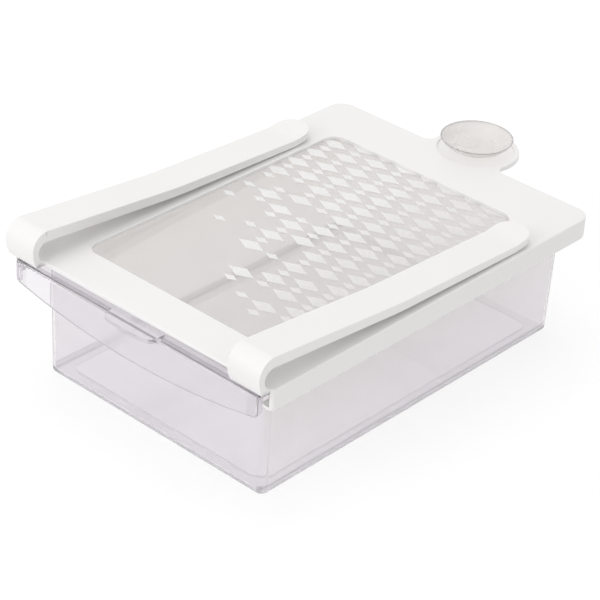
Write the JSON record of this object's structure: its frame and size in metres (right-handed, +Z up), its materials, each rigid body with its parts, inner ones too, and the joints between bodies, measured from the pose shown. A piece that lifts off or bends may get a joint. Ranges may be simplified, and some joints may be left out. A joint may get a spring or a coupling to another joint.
{
  "type": "fridge drawer organizer",
  "caption": "Clear drawer that slides in a white frame with a printed clear window; two spring clips hold it under a glass shelf and a suction cup steadies it.",
  "frame": {"origin": "middle of the whole organizer's footprint, at the level of the drawer's base", "axes": "+Z up, front with the finger pull towards -Y, tab with the suction cup towards +Y"},
  "size_m": [0.1986, 0.3254, 0.1001],
  "materials": {
    "white_plastic": "satin moulded white",
    "window_film": "clear, with a white diamond print",
    "clear_plastic": "clear polished",
    "soft_clear": "translucent soft"
  },
  "bodies": {
    "frame": {"frame": "white_plastic", "window_panel": "window_film"},
    "left_clip": {"clip_arm_left": "white_plastic"},
    "right_clip": {"clip_arm_right": "white_plastic"},
    "drawer": {"drawer": "clear_plastic"},
    "cup": {"suction_cup": "soft_clear"}
  },
  "joints": [
    {"name": "drawer_slide", "type": "slide", "parent": "frame", "child": "drawer", "axis": [0, -1, 0], "range_m": [0, 0.2]},
    {"name": "left_clip_flex", "type": "hinge", "parent": "frame", "child": "left_clip", "pos_m": [-0.08555, -0.15132, 0.1001], "axis": [1, 0, 0], "range_deg": [0, 2.5], "stiffness_Nm_per_rad": 5},
    {"name": "right_clip_flex", "type": "hinge", "parent": "frame", "child": "right_clip", "pos_m": [0.08555, -0.15132, 0.1001], "axis": [1, 0, 0], "range_deg": [0, 2.5], "stiffness_Nm_per_rad": 5},
    {"name": "cup_turn", "type": "hinge", "parent": "frame", "child": "cup", "pos_m": [0, 0.13467, 0.0805], "axis": [0, 0, 1], "continuous": true}
  ]
}
